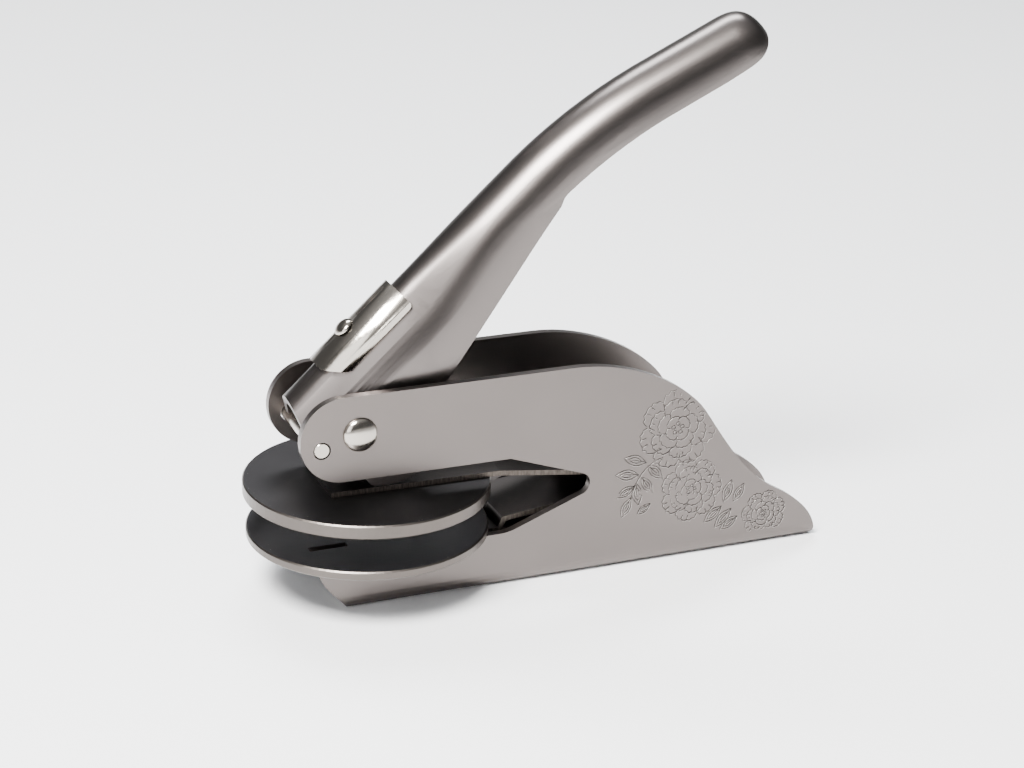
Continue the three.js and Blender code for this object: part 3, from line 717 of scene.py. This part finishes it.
def make_pivot_rivet():
    """A shank through both plates with a domed head on each face."""
    seat = PLATE_FACE + 0.03
    turns = [i / 16 * math.pi / 2 for i in range(17)]
    dome = [(PIVOT_HEAD * math.sin(t), seat + PIVOT_HEAD_HEIGHT * math.cos(t)) for t in turns]
    profile = [(r, -y) for r, y in dome]
    profile += [(PIVOT_RADIUS, -seat), (PIVOT_RADIUS, seat)] + dome[::-1]
    rivet = lathe("pivot_rivet_body", profile, "y", (PIVOT[0], 0, PIVOT[1]), NICKEL)
    smooth(rivet, 35)
    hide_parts("pivot_rivet")
    return rivet


def make_stop_pin():
    """A pin whose chamfered ends are flush with the plates."""
    flat, face = PLATE_FACE, STOP_RADIUS - STOP_CHAMFER
    upper = [(STOP_RADIUS, flat - STOP_CHAMFER), (face, flat), (0, flat)]
    profile = [(r, -y) for r, y in reversed(upper)] + upper
    pin = lathe("stop_pin_body", profile, "y", (STOP[0], 0, STOP[1]), NICKEL)
    smooth(pin, 30)
    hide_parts("stop_pin")
    return pin


def make_hardware():
    """The rivet and the pin that cross the frame."""
    for obj in (make_pivot_rivet(), make_stop_pin()):
        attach(obj, "base")


# ---- Engraving on the near plate ----


def around(centre, radius, turn):
    """The point (x, z) at that radius and angle from centre."""
    return centre[0] + radius * math.cos(turn), centre[1] + radius * math.sin(turn)


def scallop(centre, radius, petals, turn):
    """A ring of round petals with creases between them."""
    points = []
    steps = petals * 12
    for i in range(steps + 1):
        angle = 2 * math.pi * i / steps
        bulge = abs(math.sin(petals * angle / 2)) ** 0.5
        ripple = 0.025 * math.sin(5 * petals * angle)
        points.append(around(centre, radius * (0.80 + 0.20 * bulge + ripple), turn + angle))
    return points


def flower(centre, radius, turn):
    """A full flower: rings of petals, folds where they overlap, and a seeded heart."""
    lines = []
    for ring, (share, petals) in enumerate(((1.0, 7), (0.76, 6), (0.54, 5), (0.33, 4))):
        start = turn + 0.9 * ring
        lines.append(scallop(centre, radius * share, petals, start))
        for k in range(petals):
            crease = start + 2 * math.pi * k / petals
            bends = [(r, crease + 0.5 * (0.8 - r)) for r in (0.62, 0.71, 0.8)]
            lines.append([around(centre, radius * share * r, angle) for r, angle in bends])
            if ring < 2:
                for shift in (0.36, 0.58):
                    middle = crease + 2 * math.pi / petals * shift
                    lines.append([around(centre, radius * share * r, middle) for r in (0.84, 0.90, 0.95)])
    for k in range(5):
        seed = around(centre, radius * 0.12, turn + 2 * math.pi * k / 5)
        lines.append([around(seed, radius * 0.05, 2 * math.pi * i / 6) for i in range(7)])
    return lines


def leaf(base, direction, length, width=0.42):
    """A pointed leaf with a second line inside its edge and a middle vein."""
    heading = math.radians(direction)
    lines = []
    for inset in (0.0, 0.2):
        for side in (-1, 1):
            edge = []
            for i in range(11):
                along = length * (inset + (1 - 2 * inset) * i / 10)
                out = side * (width - inset) * length / 2 * math.sin(math.pi * i / 10)
                edge.append((base[0] + along * math.cos(heading) - out * math.sin(heading),
                             base[1] + along * math.sin(heading) + out * math.cos(heading)))
            lines.append(edge)
    lines.append([around(base, length * share, heading) for share in (0.0, 0.3, 0.62)])
    return lines


def on_plate(x, z, margin=0.5):
    """Whether the near plate's face is there, and margin millimetres around."""
    for dx, dz in ((0, 0), (margin, 0), (-margin, 0), (0, margin), (0, -margin)):
        spot = Vector((x + dx, -PLATE_FACE, z + dz)) * MM
        found, place, _, _ = NODES["frame"].closest_point_on_mesh(spot)
        if not found or (place - spot).length > 1e-5:
            return False
    return True


def kept_runs(line):
    """The stretches of a line that lie on the near plate."""
    runs, run = [], []
    for point in line:
        if on_plate(*point):
            run.append(point)
            continue
        runs.append(run)
        run = []
    return [r for r in (*runs, run) if len(r) > 1]


def make_engraving():
    """Dark lines on the near plate, towards its tail, each with a painted highlight along its lower edge.
    """
    lines = []
    for centre, radius, turn in FLOWERS:
        lines += flower(centre, radius, turn)
    lines.append(curve(*STEM, 12))
    for base, direction, length in LEAVES:
        lines += leaf(base, direction, length)
    runs = [run for line in lines for run in kept_runs(line)]
    # The second set of lines is a painted highlight, a little below each dark line.
    for name, shift, radius, material in (
        ("plate_engraving", (0, 0), GROOVE_RADIUS, ENGRAVED),
        ("engraving_painted_highlights", HIGHLIGHT_LINE_SHIFT, HIGHLIGHT_LINE_RADIUS, CATCH_LIGHT),
    ):
        paths = [[(x + shift[0], -PLATE_FACE, z + shift[1]) for x, z in run] for run in runs]
        engraving = join([tube("line", path, radius, material) for path in paths], name)
        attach(engraving, "base")


def join(parts, name):
    """One object of all the parts' meshes."""
    work = bmesh.new()
    for part in parts:
        work.from_mesh(part.data)
    mesh = bpy.data.meshes.new(name)
    work.to_mesh(mesh)
    work.free()
    mesh.materials.append(parts[0].data.materials[0])
    for part in parts:
        bpy.data.objects.remove(part)
    obj = bpy.data.objects.new(name, mesh)
    bpy.context.scene.collection.objects.link(obj)
    obj.data.shade_smooth()
    return obj


# ---- Studio ----


def make_floor():
    """A plain square floor; size is half its side, in metres."""
    size = 3.0
    corners = [(-size, -size, 0), (size, -size, 0), (size, size, 0), (-size, size, 0)]
    mesh = bpy.data.meshes.new("studio_floor")
    mesh.from_pydata(corners, [], [(0, 1, 2, 3)])
    mesh.materials.append(floor_material())
    floor = bpy.data.objects.new("studio_floor", mesh)
    bpy.context.scene.collection.objects.link(floor)


def area_light(name, place, aim, size, power, color=(1, 1, 1)):
    """A rectangular soft light at place, turned to aim."""
    data = bpy.data.lights.new(name, "AREA")
    data.shape = "RECTANGLE"
    data.size, data.size_y = size
    data.energy = power
    data.color = color
    light = bpy.data.objects.new(name, data)
    light.location = place
    light.rotation_euler = (Vector(aim) - Vector(place)).to_track_quat("-Z", "Y").to_euler()
    bpy.context.scene.collection.objects.link(light)


def make_lights():
    """A key from the front left, a weak fill, and a light over the floor behind."""
    area_light("key", (-0.32, -0.30, 0.72), (0.02, 0, 0.04), (0.34, 0.30), 31, (1.0, 0.985, 0.96))
    area_light("fill", (-0.60, -0.45, 0.35), (0.02, 0, 0.05), (0.5, 0.5), 3.5)
    area_light("back", (0.15, 0.60, 0.95), (0.05, 0.2, 0.0), (0.6, 0.30), 15, (0.96, 0.98, 1.0))


def make_world():
    """Bright near the horizon and darker above it, as in a room with a lit table."""
    world = bpy.data.worlds.new("studio")
    world.use_nodes = True
    tree = world.node_tree
    split = tree.nodes.new("ShaderNodeSeparateXYZ")
    tree.links.new(tree.nodes.new("ShaderNodeTexCoord").outputs["Generated"], split.inputs["Vector"])
    ramp = tree.nodes.new("ShaderNodeValToRGB")
    stops = [(0.0, 1.3), (0.08, 0.8), (0.20, 0.14), (0.60, 0.14), (1.0, 0.6)]
    ramp.color_ramp.elements.remove(ramp.color_ramp.elements[1])
    for place, value in stops:
        element = ramp.color_ramp.elements.new(place) if place else ramp.color_ramp.elements[0]
        element.color = (value, value, value * 1.02, 1)
    tree.links.new(split.outputs["Z"], ramp.inputs["Fac"])
    tree.links.new(ramp.outputs["Color"], tree.nodes["Background"].inputs["Color"])
    bpy.context.scene.world = world


def make_camera():
    """The camera from its place, direction, roll and lens."""
    data = bpy.data.cameras.new("camera")
    data.lens = CAMERA_LENS
    camera = bpy.data.objects.new("camera", data)
    bpy.context.scene.collection.objects.link(camera)
    level = math.cos(CAMERA_ELEVATION)
    sine, cosine = math.sin(CAMERA_AZIMUTH), math.cos(CAMERA_AZIMUTH)
    ahead = Vector((sine * level, cosine * level, -math.sin(CAMERA_ELEVATION)))
    right = Vector((cosine, -sine, 0))
    up = right.cross(ahead)
    rolled_right = right * math.cos(CAMERA_ROLL) + up * math.sin(CAMERA_ROLL)
    rolled_up = up * math.cos(CAMERA_ROLL) - right * math.sin(CAMERA_ROLL)
    turn = Matrix((rolled_right, rolled_up, -ahead)).transposed()
    camera.matrix_world = Matrix.Translation(CAMERA_PLACE) @ turn.to_4x4()
    bpy.context.scene.camera = camera


# ---- Assembly ----


# The frame's eased edges take the lighter rim material: a painted highlight.
finish_node("frame", "frame_plate", 0.28, PLATE, RIM_HIGHLIGHT, highlight_slot=1)
finish_platen("upper_platen")
finish_platen("lower_platen")
finish_node("upper_leaf", "leaf_steel", 0.12, LEAF)
finish_node("lower_leaf", "leaf_steel", 0.12, LEAF)
finish_node("pivot_sleeve", "plain_steel", 0.1, PLAIN)
finish_node("latch_keeper", "plain_steel", 0.08, PLAIN)
finish_node("pivot_washer_near", "bright_nickel", 0.08, NICKEL)
finish_node("pivot_washer_far", "bright_nickel", 0.08, NICKEL)
finish_node("return_spring", "spring_steel", 0, SPRING)
make_lever()
make_latch()
make_hardware()
make_engraving()
make_floor()
make_lights()
make_world()
make_camera()
